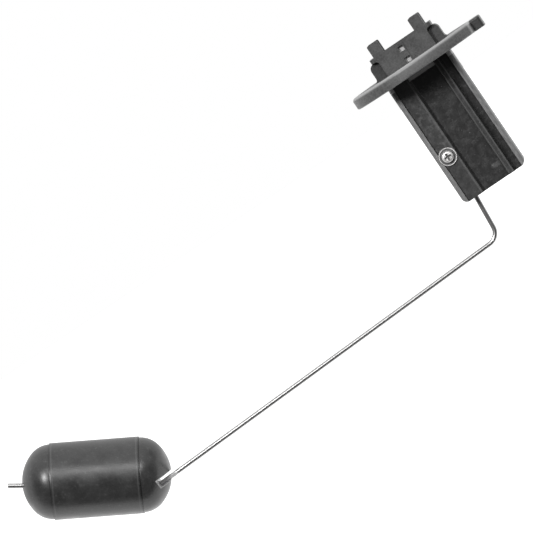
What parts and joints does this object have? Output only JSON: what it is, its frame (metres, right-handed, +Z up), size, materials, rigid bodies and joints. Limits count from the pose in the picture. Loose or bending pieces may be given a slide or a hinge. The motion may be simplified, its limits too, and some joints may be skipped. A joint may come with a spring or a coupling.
{
  "type": "fuel level sender",
  "caption": "Flanged plastic fuel tank level sender with a plug socket, a swinging bent-wire arm and a capsule-shaped float.",
  "frame": {"origin": "centre of the flange's underside, which sits on the tank's rim", "axes": "+Z up out of the tank along the body, -Y towards the screwed front cover, the float arm reaching to -X"},
  "size_m": [0.2628, 0.0586, 0.106],
  "materials": {
    "moulding": "fine-grained black moulding, greyer on the flange rim",
    "cover_moulding": "satin black moulding",
    "plated_steel": "bright zinc plated",
    "ceramic": "white ceramic with printed tracks",
    "tinned_brass": "dull tin plate",
    "solder": "dull solder",
    "white_plastic": "natural acetal",
    "spring_steel": "phosphated spring steel",
    "spring_bronze": "bare phosphor bronze",
    "arm_wire": "drawn stainless wire",
    "float_foam": "closed-cell nitrile with a moulded skin"
  },
  "bodies": {
    "housing": {"sender_body": "moulding", "front_cover": "cover_moulding", "cover_screw": "plated_steel", "screw_washer": "plated_steel", "resistor_card": "ceramic", "signal_terminal": "tinned_brass", "ground_terminal": "tinned_brass", "solder_joints": "solder", "pivot_pin": "plated_steel", "pivot_spacer": "white_plastic", "pivot_clip": "spring_steel"},
    "arm": {"wiper_carrier": "white_plastic", "wiper_contact": "spring_bronze", "wiper_rivet": "tinned_brass", "float_arm": "arm_wire", "tank_float": "float_foam"}
  },
  "joints": [
    {"name": "arm_swing", "type": "hinge", "parent": "housing", "child": "arm", "pos_m": [-0.003, 0.002, -0.033], "axis": [0, -1, 0], "range_deg": [-4, 46]}
  ]
}
